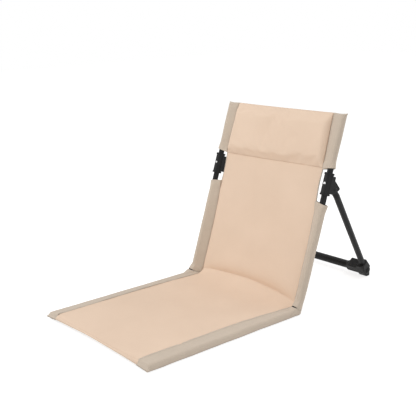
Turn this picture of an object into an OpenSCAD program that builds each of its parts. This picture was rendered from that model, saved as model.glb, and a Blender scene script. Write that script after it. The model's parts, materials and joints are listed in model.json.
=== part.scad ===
// Folding floor chair. Two cloth-covered side frames make the seat and the back,
// joined by a hinge at the fold, and a fold-out stand behind holds the back up.
// Axes: the front of the seat looks along -Y, +Z is up, and z = 0 is the floor.

/* [Chair] */
// Length of the back, from the fold corner up the slope to the tube tops
back_len = 420; // [390:1:480]
// Lean of the back, in degrees from upright
back_lean = 19.5; // [16:0.5:24]
// Depth of the seat, from the fold corner to the sleeve tips
seat_depth = 390; // [330:1:450]
// Distance between the centre lines of the side tubes
tube_span = 347; // [320:1:400]

/* [Tubes] */
// Diameter of the side tubes
tube_d = 13; // [12:0.1:13.6]
// Wall of the side tubes and the struts
tube_wall = 1; // [0.8:0.1:1.5]
// Diameter of the struts
strut_d = 13.8; // [12.5:0.1:14.2]
// Diameter of the cross tube
cross_d = 18.5; // [17:0.5:19]
// Wall of the cross tube
cross_wall = 1.2; // [0.8:0.1:2]
// Gap of a plug or a spigot inside its tube
plug_gap = 0.1; // [0.05:0.05:0.25]
// Gap of a moulding round its tube
grip_gap = 0.05; // [0.02:0.01:0.15]
// Radius gap of a pin that something turns on
running_gap = 0.08; // [0.02:0.01:0.1]

/* [Cloth] */
// Thickness of the doubled cloth
cloth_t = 1.2; // [0.8:0.1:1.6]
// Gap between a side tube and its cloth sleeve
sleeve_gap = 0.3; // [0.2:0.05:0.5]
// Distance from a tube's centre line to the seam inboard of it
sleeve_tail = 21.5; // [16:0.5:28]
// Depth of the flat on which the seat sleeves rest
rest_flat = 0.5; // [0.2:0.1:0.8]
// Sag of the back and seat cloth between the side seams
cloth_sag = 4; // [0:0.5:4.5]
// Inward bow of the seat's front edge
front_bow = 12; // [0:1:24]
// Radius of the cloth in the fold
fold_radius = 15; // [10:1:22]
// Gap between the two halves of the cloth at the fold
fold_slit = 0.6; // [0.4:0.1:1.5]
// Start of the sleeves, from the fold corner
sleeve_start = 20.5; // [20:0.5:30]
// Inner top of the lower back sleeves, from the fold corner
low_sleeve_end = 235; // [215:1:240]
// Inner bottom of the upper back sleeves, from the fold corner
high_sleeve_start = 303; // [301:1:315]
// Slant of the sleeve ends beside the bracket, inner to outer edge
end_slant = 5; // [0:0.5:7]
// How far the free cloth edge draws in beside the bracket
edge_draw = 2; // [0:0.5:4]

/* [Headrest] */
// Height of the headrest pad
pad_h = 117; // [80:1:130]
// Thickness of the headrest pad at its crown
pad_t = 9; // [4:0.5:10]
// How far the pad's long edges draw in at mid-width
pad_draw = 3; // [0:0.5:6]

/* [Bracket] */
// Bottom of the brackets, from the fold corner
bracket_low = 250; // [246:1:252]
// Length of the bracket sleeve on the tube
bracket_len = 48; // [44:1:50]
// Wall of the bracket sleeve round the tube
bracket_wall = 3.25; // [2.5:0.05:4]
// Wall of the bracket's cheeks and of the web behind the strut
cheek_wall = 3; // [2.5:0.1:4]
// Gap between the strut and each cheek
cheek_gap = 0.2; // [0.1:0.05:0.5]
// Height of the strut pivot above the bracket's bottom
pivot_rise = 16; // [14:0.5:20]
// Distance of the strut pivot behind the tube's centre line
pivot_back = 21; // [19:0.5:24]
// Diameter of the strut pivot pins
pin_d = 5; // [4:0.5:6]
// Diameter of the rivet that fixes a bracket to its tube
rivet_d = 4; // [3:0.5:4.5]

/* [Stand] */
// Distance of the cross tube behind the fold corner
stand_reach = 289; // [265:1:310]
// Height of the cross tube's centre line
cross_rise = 17.5; // [16:0.5:20]
// Half of the distance between the points where struts meet the cross tube
foot_half = 116; // [90:1:140]
// Distance below the pivot at which a strut bends inward
bend_drop = 20; // [20:1:45]
// Bend radius of a strut at its centre line
bend_radius = 20; // [16:1:24]
// Wall of a foot's sleeve round the cross tube
foot_wall = 3.25; // [2.5:0.05:3.5]
// Length of a foot inboard of its strut
foot_inner = 49; // [40:1:60]
// Reach of a foot's socket outboard of the strut's lower end
foot_outer = 15; // [14.5:0.5:18]
// Height of a foot up the strut
foot_up = 26.5; // [25:0.5:34]

/* [Fold hinge] */
// Gap between the closed sleeves, on each side of the hinge
hinge_gap = 0.3; // [0.2:0.1:0.6]
// Radius of the hinge eyes
eye_r = 4.6; // [4.2:0.1:5]
// Thickness of the hinge tongue
tongue_t = 4.6; // [4:0.1:5.5]
// Gap between tongue and fork
fork_gap = 0.25; // [0.15:0.05:0.4]
// Diameter of the fold pins
fold_pin_d = 4; // [3:0.5:4.5]

/* [Hidden] */
$fn = 48;
overrun = 1;
crown_share = 0.7;

// Colours, as the photograph shows them
cloth_tone = [0.89, 0.79, 0.69];
edge_tone = [0.74, 0.68, 0.62];
black_tone = [0.09, 0.09, 0.1];
plastic_tone = [0.14, 0.14, 0.15];
steel_tone = [0.7, 0.7, 0.72];

// The side tubes and what lies round them
tube_r = tube_d / 2;
tube_x = tube_span / 2;
sleeve_in = tube_r + sleeve_gap;
sleeve_r = sleeve_in + cloth_t;
tube_z = sleeve_r - rest_flat;
seam_x = tube_x - sleeve_tail;
seam_w = 4;
tail_half = cloth_t;
sleeve_steps = 20;
open_angle = 90 + back_lean;

// The fold hinge, whose axis lies in the inner corner so that the closed frames lie side by side
hinge_off = sleeve_r + hinge_gap;
hinge_along = hinge_off / tan(open_angle / 2);
shoulder_low = 9;
tube_start = 20;
spigot_len = 18;
gusset_gap = 0.5;
gusset_end = tube_start - gusset_gap;
fold_pin_r = fold_pin_d / 2;
fold_head_r = 3.4;
fold_head_t = 1;
notch_depth = 2.5;
notch_wall = 2;
notch_end = tube_start - notch_wall;

// Ends of the tubes and of the sleeves
cap_t = 2.5;
cap_spigot = 14;
back_tube_end = back_len - cap_t;
tip_len = 4;
tip_gap = 0.5;
ear_rise = 2.5;
seat_sleeve_end = seat_depth - tip_len;
seat_tube_end = seat_sleeve_end - tip_gap - cap_t;

// The bracket, in the back's own plane: first behind the tube, then up the slope
bracket_r = tube_r + bracket_wall;
web_tuck = 3;
rivet_rise = 25;
pivot_up = bracket_low + pivot_rise;
slot_half = strut_d / 2 + cheek_gap;
hood_half = slot_half + cheek_wall;
stop_gap = 0.3;
web_in = strut_d / 2 + stop_gap;
web_out = web_in + cheek_wall;
rivet_up = bracket_low + rivet_rise;
rivet_r = rivet_d / 2;
rivet_head_r = 3.4;
rivet_head_t = 1.2;
rivet_tail = bracket_r + web_tuck;
pin_r = pin_d / 2;
pin_head_r = 4;
pin_head_t = 1.6;

// The stand, worked out from where its pivot and its cross tube are
pivot_dy = pivot_up * sin(back_lean) + pivot_back * cos(back_lean);
pivot_z = tube_z + pivot_up * cos(back_lean) - pivot_back * sin(back_lean);
stand_dy = stand_reach - pivot_dy;
stand_dz = pivot_z - cross_rise;
stand_len = norm([stand_dy, stand_dz]);
stand_angle = atan2(stand_dy, stand_dz);
swing = stand_angle + back_lean;
bend_angle = atan2(tube_x - foot_half, stand_len - bend_drop);
bend_run = bend_radius * tan(bend_angle / 2);
strut_r = strut_d / 2;
strut_in = strut_r - tube_wall;
strut_top = 9;
strut_lap = 0.5;
bend_swell = 0.05;
head_spigot = 8;
head_relief = 0.35;
head_eye_r = strut_r - head_relief;
head_eye_w = strut_d - 2 * head_relief;
cross_r = cross_d / 2;
socket_web = 2;
strut_stop = cross_r + socket_web;
strut_low_len = (stand_len - bend_drop) / cos(bend_angle) - bend_run - strut_stop;
cross_past = 3;
cross_half = foot_half + cross_past;

// Small features of the foot
sleeve_foot_r = cross_r + foot_wall;
socket_inset = 0.3;
foot_t = 2 * (sleeve_foot_r - socket_inset);
inner_step = 4;
inner_rim = 1;
socket_taper = 6;
plate_start = foot_inner - inner_step * 1.5;
hump_round = 7;
heel_low = [1.5, 13];
heel_back = [15, 13];
heel_in = 16;
heel_out = 4;
heel_round = 4;
screw_r = 1.75;
screw_head_r = 3.4;
screw_head_t = 1.6;
screw_len = 7.5;
shelf_share = 0.6;
shelf_round = 3;
collar_round = 3;
end_round = 9;
step_round = 2;
cross_screw_in = 32;

// The origin lies under the middle of the footprint, so the fold corner is set from both reaches
rear_reach = stand_reach + heel_back[0];
fold_y = (seat_depth - rear_reach) / 2;

// Places: each local Z runs along the frame from the fold, or up the strut to its pivot
module on_back() {
    translate([0, fold_y, tube_z])
        rotate([-back_lean, 0, 0])
            children();
}

module on_seat() {
    translate([0, fold_y, tube_z])
        rotate([90, 0, 0])
            children();
}

module on_stand() {
    translate([0, fold_y + pivot_dy, pivot_z])
        rotate([stand_angle, 0, 0])
            children();
}

// The right side is drawn, and the left is its mirror image
module sided(side) {
    mirror([side < 0 ? 1 : 0, 0, 0])
        children();
}

// A corner of an outline, rounded by an arc of the given radius
function unit(v) = v / norm(v);
function arc_corner(a, p, b, r, steps) =
    let (u = unit(a - p), w = unit(b - p))
    let (half = acos(u * w) / 2, run = r / tan(half))
    let (c = p + unit(u + w) * r / sin(half))
    let (s = p + u * run - c, e = p + w * run - c)
    let (from = atan2(s[1], s[0]), raw = atan2(e[1], e[0]) - from)
    let (turn = raw > 180 ? raw - 360 : raw < -180 ? raw + 360 : raw)
    [for (i = [0 : steps]) c + r * [cos(from + turn * i / steps), sin(from + turn * i / steps)]];

// A rounded outline from corners given as [point, radius]
function rounded(corners, steps = 6) =
    let (n = len(corners))
    [for (i = [0 : n - 1])
        let (p = corners[i][0], r = corners[i][1])
        each (r == 0 ? [p] : arc_corner(corners[(i + n - 1) % n][0], p, corners[(i + 1) % n][0], r, steps))];

// A hollow tube along Z
module pipe(r, wall, low, high) {
    translate([0, 0, low])
        difference() {
            cylinder(r = r, h = high - low);
            translate([0, 0, -overrun])
                cylinder(r = r - wall, h = high - low + 2 * overrun);
        }
}

// A rod along X, centred on X = 0
module rod_x(r, length) {
    rotate([0, 90, 0])
        translate([0, 0, -length / 2])
            cylinder(r = r, h = length);
}

// A low head of a rivet, pin or screw, smaller at its crown
module head(r, h) {
    cylinder(r1 = r, r2 = r * crown_share, h = h);
}

// A slab along X whose outline is given as [across, along] in the local YZ plane
module slab_x(outline, width) {
    rotate([90, 0, 90])
        translate([0, 0, -width / 2])
            linear_extrude(width)
                polygon(outline);
}

// Outline of a cloth sleeve round a tube, drawn in to its seam on the inboard side
module sleeve_outline(r, tail, half) {
    reach = norm([tail, half]);
    touch = 180 - atan2(half, tail) - acos(r / reach);
    polygon(concat(
        [[-tail, -half], [-tail, half]],
        [for (i = [0 : sleeve_steps]) let (a = touch * (1 - 2 * i / sleeve_steps)) r * [cos(a), sin(a)]]));
}

module sleeve_wall() {
    difference() {
        sleeve_outline(sleeve_r, sleeve_tail, tail_half);
        sleeve_outline(sleeve_in, sleeve_tail - seam_w, tail_half / 2);
    }
}

// A solid cap of cloth from the sleeve's outline to its flat sewn end, with the outer corner up
module sleeve_tip(low) {
    hull() {
        translate([0, 0, low])
            linear_extrude(cloth_t / 2)
                sleeve_outline(sleeve_r, sleeve_tail, tail_half);
        translate([0, 0, low])
            rotate([90, 0, 0])
                translate([0, 0, -cloth_t])
                    linear_extrude(2 * cloth_t)
                        polygon([[-sleeve_tail, 0], [sleeve_r, 0],
                                 [sleeve_r, tip_len], [-sleeve_tail, tip_len - ear_rise / 2]]);
    }
}

// Cuts a sleeve end on a slant: the outer edge of the sleeve is longer or shorter than the inner
module slant_cut(at, rise, up) {
    wide = sleeve_tail + sleeve_r + 2 * overrun;
    tall = sleeve_tail + sleeve_r;
    rotate([90, 0, 0])
        translate([0, 0, -tall / 2])
            linear_extrude(tall)
                polygon([[-sleeve_tail - overrun, at], [sleeve_r + overrun, at + rise],
                         [sleeve_r + overrun, at + up * wide], [-sleeve_tail - overrun, at + up * wide]]);
}

// Side frame of the back
module back_tube(side) {
    color(black_tone)
        on_back()
            sided(side)
                translate([tube_x, 0, 0])
                    difference() {
                        pipe(tube_r, tube_wall, tube_start, back_tube_end);
                        rivet_shank(rivet_r + grip_gap);
                    }
}

// The plug spigot lies inside a tube whose end is at the given height
module end_cap(at) {
    translate([0, 0, at])
        cylinder(r1 = tube_r, r2 = tube_r - cap_t / 2, h = cap_t);
    translate([0, 0, at - cap_spigot])
        cylinder(r = tube_r - tube_wall - plug_gap, h = cap_spigot);
}

module back_cap(side) {
    color(plastic_tone)
        on_back()
            sided(side)
                translate([tube_x, 0, 0])
                    end_cap(back_tube_end);
}

module seat_tube(side) {
    color(black_tone)
        on_seat()
            sided(side)
                translate([tube_x, 0, 0])
                    pipe(tube_r, tube_wall, tube_start, seat_tube_end);
}

module seat_cap(side) {
    color(plastic_tone)
        on_seat()
            sided(side)
                translate([tube_x, 0, 0])
                    end_cap(seat_tube_end);
}

// Bracket: a sleeve on the tube, and a hood of two cheeks and a web in which the strut swings
strut_way = [sin(swing), -cos(swing)];
web_way = [cos(swing), sin(swing)];
pivot_at = [pivot_back, pivot_up];
lip_out = 1.8;
lip_low_share = 0.72;
lip_high_share = 0.88;
mouth_out = 8;
mouth_in = 3;
mouth_lip = 4.6;
hood_foot = 5;
hood_rounds = [1, 3, 6];

module hood() {
    lip_n = bracket_r + lip_out;
    lip_high = bracket_low + bracket_len * lip_high_share;
    lip_low = bracket_low + bracket_len * lip_low_share;
    outline = rounded([
        [[0, lip_high], 0],
        [[lip_n, lip_high], hood_rounds[0]],
        [[lip_n, lip_low], hood_rounds[0]],
        [pivot_at + web_way * web_out + strut_way * mouth_out, hood_rounds[1]],
        [pivot_at - web_way * (strut_d / 2 + mouth_lip) + strut_way * mouth_in, hood_rounds[2]],
        [[bracket_r, bracket_low + hood_foot], hood_rounds[0]],
        [[0, bracket_low + hood_foot], 0]]);
    slab_x(outline, 2 * hood_half);
}

// The space that the strut and its head sweep between open and folded
module strut_sweep() {
    far = strut_d * 3;
    slab_x([
        pivot_at + web_way * web_in,
        pivot_at + web_way * web_in + strut_way * far,
        pivot_at + strut_way * far * 2 + [0, -far],
        pivot_at + [-web_in, -far],
        pivot_at + [-web_in, 0]], 2 * slot_half);
    translate([0, pivot_back, pivot_up])
        rod_x(web_in, 2 * slot_half);
}

module rivet_shank(r) {
    translate([0, 0, rivet_up])
        rotate([-90, 0, 0])
            translate([0, 0, -bracket_r - overrun])
                cylinder(r = r, h = bracket_r + overrun + rivet_tail);
}

module rivet_seat(r, deep) {
    translate([0, 0, rivet_up])
        rotate([-90, 0, 0])
            translate([0, 0, -bracket_r - overrun])
                cylinder(r = r, h = deep + overrun);
}

collar_h = 4;
collar_out = 1;

module bracket_body() {
    translate([0, 0, bracket_low])
        cylinder(r = bracket_r, h = bracket_len);
    for (low = [bracket_low, bracket_low + bracket_len - collar_h])
        translate([0, 0, low])
            cylinder(r = bracket_r + collar_out, h = collar_h);
    hood();
}

module bracket(side) {
    color(plastic_tone)
        on_back()
            sided(side)
                translate([tube_x, 0, 0])
                    difference() {
                        bracket_body();
                        translate([0, 0, bracket_low - overrun])
                            cylinder(r = tube_r + grip_gap, h = bracket_len + 2 * overrun);
                        strut_sweep();
                        rivet_shank(rivet_r + grip_gap);
                        rivet_seat(rivet_head_r + grip_gap, rivet_head_t);
                        translate([0, pivot_back, pivot_up])
                            rod_x(pin_r + grip_gap, 2 * hood_half + 2 * overrun);
                    }
}

module bracket_rivets() {
    color(steel_tone)
        on_back()
            for (side = [-1, 1])
                sided(side)
                    translate([tube_x, 0, rivet_up])
                        rotate([-90, 0, 0]) {
                            translate([0, 0, -bracket_r + rivet_head_t])
                                mirror([0, 0, 1])
                                    head(rivet_head_r, rivet_head_t);
                            translate([0, 0, -bracket_r + rivet_head_t])
                                cylinder(r = rivet_r, h = bracket_r - rivet_head_t + rivet_tail);
                        }
}

module pivot_pin(side) {
    color(steel_tone)
        on_back()
            sided(side)
                translate([tube_x, pivot_back, pivot_up]) {
                    rod_x(pin_r, 2 * hood_half);
                    for (way = [0, 1])
                        mirror([way, 0, 0])
                            translate([hood_half, 0, 0])
                                rotate([0, 90, 0])
                                    head(pin_head_r, pin_head_t);
                }
}

// Hinge ends: [behind, along] in the back's plane, and the same with the sign turned for the seat
eye_at = [-hinge_off, hinge_along];
arm_root = 2;

function arm_outline(sign) =
    let (p = eye_at, arc = [for (a = [160 : 20 : 340]) p + eye_r * [cos(a), sin(a)]])
    let (pts = concat([[-tube_r, gusset_end]], arc, [[arm_root, shoulder_low], [arm_root, gusset_end]]))
    [for (q = pts) [sign * q[0], q[1]]];

module hinge_shoulder() {
    translate([0, 0, shoulder_low])
        cylinder(r = tube_r, h = tube_start - shoulder_low);
    translate([0, 0, tube_start])
        cylinder(r = tube_r - tube_wall - plug_gap, h = spigot_len);
}

// The part of a shoulder on the hinge's side, where the other frame's arm needs room
module shoulder_notch(sign, width) {
    deep = tube_r - notch_depth + overrun;
    translate([-width / 2, sign > 0 ? notch_depth : -notch_depth - deep, shoulder_low - overrun])
        cube([width, deep, notch_end - shoulder_low + overrun]);
}

module fork(side) {
    slot = tongue_t + 2 * fork_gap;
    color(plastic_tone)
        on_back()
            sided(side)
                translate([tube_x, 0, 0])
                    difference() {
                        union() {
                            hinge_shoulder();
                            difference() {
                                slab_x(arm_outline(1), tube_d);
                                slab_x(arm_outline(1), slot);
                            }
                        }
                        shoulder_notch(-1, slot);
                        translate([0, -hinge_off, hinge_along])
                            rod_x(fold_pin_r + grip_gap, tube_d + 2 * overrun);
                    }
}

module tongue(side) {
    wing = (tube_d - tongue_t) / 2 + overrun;
    color(plastic_tone)
        on_seat()
            sided(side)
                translate([tube_x, 0, 0])
                    difference() {
                        union() {
                            hinge_shoulder();
                            slab_x(arm_outline(-1), tongue_t);
                        }
                        for (way = [-1, 1])
                            translate([way * (tongue_t + wing) / 2, 0, 0])
                                shoulder_notch(1, wing);
                        translate([0, hinge_off, hinge_along])
                            rod_x(fold_pin_r + running_gap, tube_d + 2 * overrun);
                    }
}

module fold_pin(side) {
    color(steel_tone)
        on_back()
            sided(side)
                translate([tube_x, -hinge_off, hinge_along]) {
                    rod_x(fold_pin_r, tube_d);
                    for (way = [0, 1])
                        mirror([way, 0, 0])
                            translate([tube_r, 0, 0])
                                rotate([0, 90, 0])
                                    head(fold_head_r, fold_head_t);
                }
}

// Cloth sleeves
module lower_sleeve(side) {
    color(edge_tone)
        on_back()
            sided(side)
                translate([tube_x, 0, 0])
                    difference() {
                        translate([0, 0, sleeve_start])
                            linear_extrude(low_sleeve_end - sleeve_start)
                                sleeve_wall();
                        slant_cut(low_sleeve_end, -end_slant, 1);
                    }
}

module upper_sleeve(side) {
    color(edge_tone)
        on_back()
            sided(side)
                translate([tube_x, 0, 0]) {
                    difference() {
                        translate([0, 0, high_sleeve_start])
                            linear_extrude(back_len + tip_gap - high_sleeve_start)
                                sleeve_wall();
                        slant_cut(high_sleeve_start, end_slant, -1);
                    }
                    sleeve_tip(back_len + tip_gap);
                }
}

module seat_sleeve(side) {
    wide = sleeve_tail + sleeve_r + 2 * overrun;
    color(edge_tone)
        on_seat()
            sided(side)
                translate([tube_x, 0, 0])
                    difference() {
                        union() {
                            translate([0, 0, sleeve_start])
                                linear_extrude(seat_sleeve_end - sleeve_start)
                                    sleeve_wall();
                            sleeve_tip(seat_sleeve_end);
                        }
                        translate([-sleeve_tail - overrun, -tube_z - sleeve_r, 0])
                            cube([wide, sleeve_r, seat_depth + overrun]);
                    }
}

// Cloth panels: stations along the frame as [towards the sitter, along, and the unit normal]
arc_steps = 4;
long_steps = 14;
wide_steps = 12;
half_turn = (180 - open_angle) / 2;
fold_run = fold_radius * tan(half_turn);
slit_angle = fold_slit / 2 / fold_radius * 180 / PI;
sag_reach_share = 0.4;

function stations(long) = concat(
    [for (i = [0 : arc_steps - 1])
        let (a = (half_turn - slit_angle) * (1 - i / arc_steps))
        [fold_radius * (1 - cos(a)), fold_run - fold_radius * sin(a), cos(a), sin(a)]],
    [for (i = [0 : long_steps])
        [0, fold_run + (long - fold_run) * i / long_steps, 1, 0]]);

// Share of the full sag at a place along the frame: none at the fold, all of it by mid-length
function sag_share(along, long) = sin(90 * min(1, max(0, along - fold_run) / (long * sag_reach_share)));

// A closed sheet between two grids of points
module sheet(front, back) {
    rows = len(front);
    cols = len(front[0]);
    all = concat([for (r = front) each r], [for (r = back) each r]);
    half = rows * cols;
    faces = concat(
        [for (i = [0 : rows - 2], j = [0 : cols - 2]) let (a = i * cols + j)
            each [[a, a + 1, a + cols + 1], [a, a + cols + 1, a + cols]]],
        [for (i = [0 : rows - 2], j = [0 : cols - 2]) let (a = half + i * cols + j)
            each [[a, a + cols + 1, a + 1], [a, a + cols, a + cols + 1]]],
        [for (i = [0 : rows - 2], j = [0, cols - 1]) let (a = i * cols + j, b = a + cols)
            each (j == 0 ? [[a, b, b + half], [a, b + half, a + half]]
                         : [[a, b + half, b], [a, a + half, b + half]])],
        [for (j = [0 : cols - 2], i = [0, rows - 1]) let (a = i * cols + j, b = a + 1)
            each (i == 0 ? [[a, b + half, b], [a, a + half, b + half]]
                         : [[a, b, b + half], [a, b + half, a + half]])]);
    polyhedron(all, faces, convexity = 4);
}

// Half width of the back cloth, drawn in a little where no sleeve holds it
function back_half(along) =
    let (t = (along - low_sleeve_end) / (high_sleeve_start - low_sleeve_end))
    seam_x - (t > 0 && t < 1 ? edge_draw * sin(180 * t) : 0);

function panel_grid(sign, lift, long, bow, draws) =
    [for (s = stations(long))
        [for (j = [0 : wide_steps])
            let (u = 2 * j / wide_steps - 1, sag = cloth_sag * sag_share(s[1], long) * (1 - u * u))
            let (t = max(0, (s[1] - fold_run) / (long - fold_run)))
            let (w = s[0] + s[2] * (lift - sag), b = s[1] + s[3] * (lift - sag) - bow * t * t * (1 - u * u))
            [u * (draws ? back_half(s[1]) : seam_x), sign * w, b]]];

panel_half = cloth_t / 2;

module back_panel() {
    color(cloth_tone)
        on_back()
            sheet(panel_grid(-1, panel_half, back_len, 0, true),
                  panel_grid(-1, -panel_half, back_len, 0, true));
}

module seat_panel() {
    color(cloth_tone)
        on_seat()
            sheet(panel_grid(1, -panel_half, seat_sleeve_end, front_bow, false),
                  panel_grid(1, panel_half, seat_sleeve_end, front_bow, false));
}

// Headrest pad: crowned, with its long edges drawn in, on the front of the back cloth
pad_cols = 16;
pad_rows = 12;
pad_edge = 1.5;
pad_inset = 1;
pad_gap = 0.3;
pad_top_gap = 3;

function pad_grid(crown) =
    [for (i = [0 : pad_rows])
        [for (j = [0 : pad_cols])
            let (v = 2 * i / pad_rows - 1, u = 2 * j / pad_cols - 1)
            let (mid = back_len - pad_top_gap - pad_h / 2, pull = pad_draw * (1 - u * u))
            let (b = mid + v * (pad_h / 2 - pull), x = u * (seam_x - pad_inset))
            let (t = x / seam_x, sag = cloth_sag * sag_share(b, back_len) * (1 - t * t))
            let (full = sqrt(max(0, (1 - pow(u, 6)) * (1 - pow(v, 4)))))
            [x, sag - panel_half - pad_gap - (crown ? pad_edge + (pad_t - pad_edge) * full : 0), b]]];

module headrest_pad() {
    color(cloth_tone)
        on_back()
            sheet(pad_grid(true), pad_grid(false));
}

// Stand: the strut bends inward below its pivot, to reach the narrower cross tube, and its tube
// swells a little in the bend
module strut_path(r, extra) {
    straight = bend_drop - bend_run - strut_top;
    translate([tube_x, 0, -strut_top - straight - strut_lap])
        cylinder(r = r, h = straight + extra + strut_lap);
    translate([tube_x - bend_radius, 0, -strut_top - straight])
        rotate([90, 0, 0])
            rotate([0, 0, -bend_angle])
                rotate_extrude(angle = bend_angle)
                    translate([bend_radius, 0])
                        circle(r = r + bend_swell);
    translate([tube_x - bend_radius, 0, -strut_top - straight])
        rotate([0, bend_angle, 0])
            translate([bend_radius, 0, -strut_low_len - extra])
                cylinder(r = r, h = strut_low_len + extra + strut_lap);
}

module strut(side) {
    color(black_tone)
        on_stand()
            sided(side)
                difference() {
                    strut_path(strut_r, 0);
                    strut_path(strut_in, overrun);
                    strut_screw(screw_r + grip_gap);
                }
}

// The eye in the top of a strut, with its spigot inside the tube
module strut_head(side) {
    color(plastic_tone)
        on_stand()
            sided(side)
                translate([tube_x, 0, 0])
                    difference() {
                        union() {
                            rod_x(head_eye_r, head_eye_w);
                            translate([0, 0, -strut_top])
                                cylinder(r = strut_r, h = strut_top);
                            translate([0, 0, -strut_top - head_spigot])
                                cylinder(r = strut_in - plug_gap, h = head_spigot);
                        }
                        rod_x(pin_r + running_gap, strut_d + 2 * overrun);
                    }
}

module cross_tube() {
    color(black_tone)
        on_stand()
            translate([0, 0, -stand_len])
                difference() {
                    rotate([0, 90, 0])
                        pipe(cross_r, cross_wall, -cross_half, cross_half);
                    for (side = [-1, 1])
                        sided(side)
                            cross_screw(screw_r + grip_gap);
                }
}

// Foot: a sleeve on the cross tube that ends in a ball, a socket for the strut, and a heel
shelf = foot_up * shelf_share;

module foot_sleeve() {
    rotate([0, 90, 0]) {
        translate([0, 0, -foot_inner])
            cylinder(r1 = cross_r + inner_rim, r2 = sleeve_foot_r, h = inner_step);
        translate([0, 0, -foot_inner + inner_step])
            cylinder(r = sleeve_foot_r, h = foot_inner - inner_step);
    }
    sphere(r = sleeve_foot_r);
}

module socket_plate() {
    outline = rounded([
        [[-plate_start, 0], 0],
        [[foot_outer - socket_taper, 0], 0],
        [[foot_outer, foot_up], collar_round],
        [[-strut_r / 2, foot_up], collar_round],
        [[-strut_r - foot_wall, shelf], step_round],
        [[-plate_start, shelf], hump_round]]);
    rotate([90, 0, 0])
        translate([0, 0, -foot_t / 2])
            linear_extrude(foot_t)
                polygon(outline);
}

// Rounds the socket's upper edges across its thickness
module socket_envelope() {
    side = rounded([
        [[-foot_t / 2, -overrun], 0],
        [[foot_t / 2, -overrun], 0],
        [[foot_t / 2, foot_up], shelf_round],
        [[-foot_t / 2, foot_up], shelf_round]]);
    translate([(foot_outer - foot_inner) / 2, 0, 0])
        slab_x(side, foot_inner + foot_outer + 2 * overrun);
}

// Rounds the socket's ends, seen along the strut
module socket_ends() {
    plan = rounded([
        [[-foot_inner, -foot_t / 2], step_round],
        [[foot_outer, -foot_t / 2], end_round],
        [[foot_outer, foot_t / 2], end_round],
        [[-foot_inner, foot_t / 2], step_round]]);
    translate([0, 0, -overrun])
        linear_extrude(foot_up + 2 * overrun)
            polygon(plan);
}

// The heel stands on the floor, behind the cross tube and in line with the strut
module heel(side) {
    profile = rounded([
        [[-heel_back[1] / 2, -cross_rise / 2], 0],
        [[heel_low[0], -cross_rise], step_round],
        [[heel_low[1], -cross_rise], step_round],
        [[heel_back[0], heel_back[1] - cross_rise], heel_round],
        [[sleeve_foot_r - inner_rim, 0], 0],
        [[0, 0], 0]]);
    plan = rounded([
        [[foot_half - heel_in, -heel_back[1]], heel_round],
        [[foot_half + heel_out, -heel_back[1]], heel_round],
        [[foot_half + heel_out, heel_back[0] + inner_rim], heel_round],
        [[foot_half - heel_in, heel_back[0] + inner_rim], heel_round]]);
    translate([0, fold_y + stand_reach, cross_rise])
        sided(side)
            intersection() {
                translate([foot_half, 0, 0])
                    slab_x(profile, 2 * foot_inner);
                translate([0, 0, -cross_rise - overrun])
                    linear_extrude(cross_rise + 2 * overrun)
                        polygon(plan);
            }
}

module cross_screw(r) {
    translate([foot_half - cross_screw_in, sleeve_foot_r - screw_len, 0])
        rotate([-90, 0, 0])
            cylinder(r = r, h = screw_len + overrun);
}

// The strut's screw stands square to the stand's plane, half way up the socket
screw_rise = (strut_stop + foot_up) / 2;

module strut_screw(r) {
    translate([foot_half + screw_rise * tan(bend_angle), foot_t / 2 - screw_len, -stand_len + screw_rise])
        rotate([-90, 0, 0])
            cylinder(r = r, h = screw_len + overrun);
}

module foot(side) {
    color(plastic_tone)
        difference() {
            union() {
                on_stand()
                    sided(side)
                        translate([foot_half, 0, -stand_len]) {
                            foot_sleeve();
                            intersection() {
                                socket_plate();
                                socket_envelope();
                                socket_ends();
                            }
                        }
                heel(side);
            }
            on_stand()
                sided(side) {
                    strut_path(strut_r + grip_gap, 0);
                    translate([0, 0, -stand_len])
                        rotate([0, 90, 0])
                            cylinder(r = cross_r + grip_gap, h = cross_half + grip_gap);
                    translate([0, 0, -stand_len])
                        cross_screw(screw_r + grip_gap);
                    strut_screw(screw_r + grip_gap);
                }
        }
}

module screw_head(out) {
    translate([0, out, 0])
        rotate([-90, 0, 0])
            head(screw_head_r, screw_head_t);
}

module foot_screws() {
    color(steel_tone)
        on_stand()
            for (side = [-1, 1])
                sided(side) {
                    translate([0, 0, -stand_len])
                        intersection() {
                            cross_screw(screw_r);
                            cube([tube_span, 2 * sleeve_foot_r, foot_t], center = true);
                        }
                    translate([foot_half - cross_screw_in, 0, -stand_len])
                        screw_head(sleeve_foot_r);
                    intersection() {
                        strut_screw(screw_r);
                        translate([0, 0, -stand_len])
                            cube([tube_span, foot_t, 4 * foot_up], center = true);
                    }
                    translate([foot_half + screw_rise * tan(bend_angle), 0, -stand_len + screw_rise])
                        screw_head(foot_t / 2);
                }
}

back_tube(-1);  // back_tube_left
back_tube(1);  // back_tube_right
back_cap(-1);  // back_cap_left
back_cap(1);  // back_cap_right
bracket(-1);  // bracket_left
bracket(1);  // bracket_right
bracket_rivets();
pivot_pin(-1);  // pivot_pin_left
pivot_pin(1);  // pivot_pin_right
fork(-1);  // hinge_fork_left
fork(1);  // hinge_fork_right
back_panel();
headrest_pad();
upper_sleeve(-1);  // upper_sleeve_left
upper_sleeve(1);  // upper_sleeve_right
lower_sleeve(-1);  // lower_sleeve_left
lower_sleeve(1);  // lower_sleeve_right
seat_tube(-1);  // seat_tube_left
seat_tube(1);  // seat_tube_right
seat_cap(-1);  // seat_cap_left
seat_cap(1);  // seat_cap_right
tongue(-1);  // hinge_tongue_left
tongue(1);  // hinge_tongue_right
fold_pin(-1);  // fold_pin_left
fold_pin(1);  // fold_pin_right
seat_panel();
seat_sleeve(-1);  // seat_sleeve_left
seat_sleeve(1);  // seat_sleeve_right
strut(-1);  // strut_left
strut(1);  // strut_right
strut_head(-1);  // strut_head_left
strut_head(1);  // strut_head_right
foot(-1);  // foot_left
foot(1);  // foot_right
cross_tube();
foot_screws();
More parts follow.
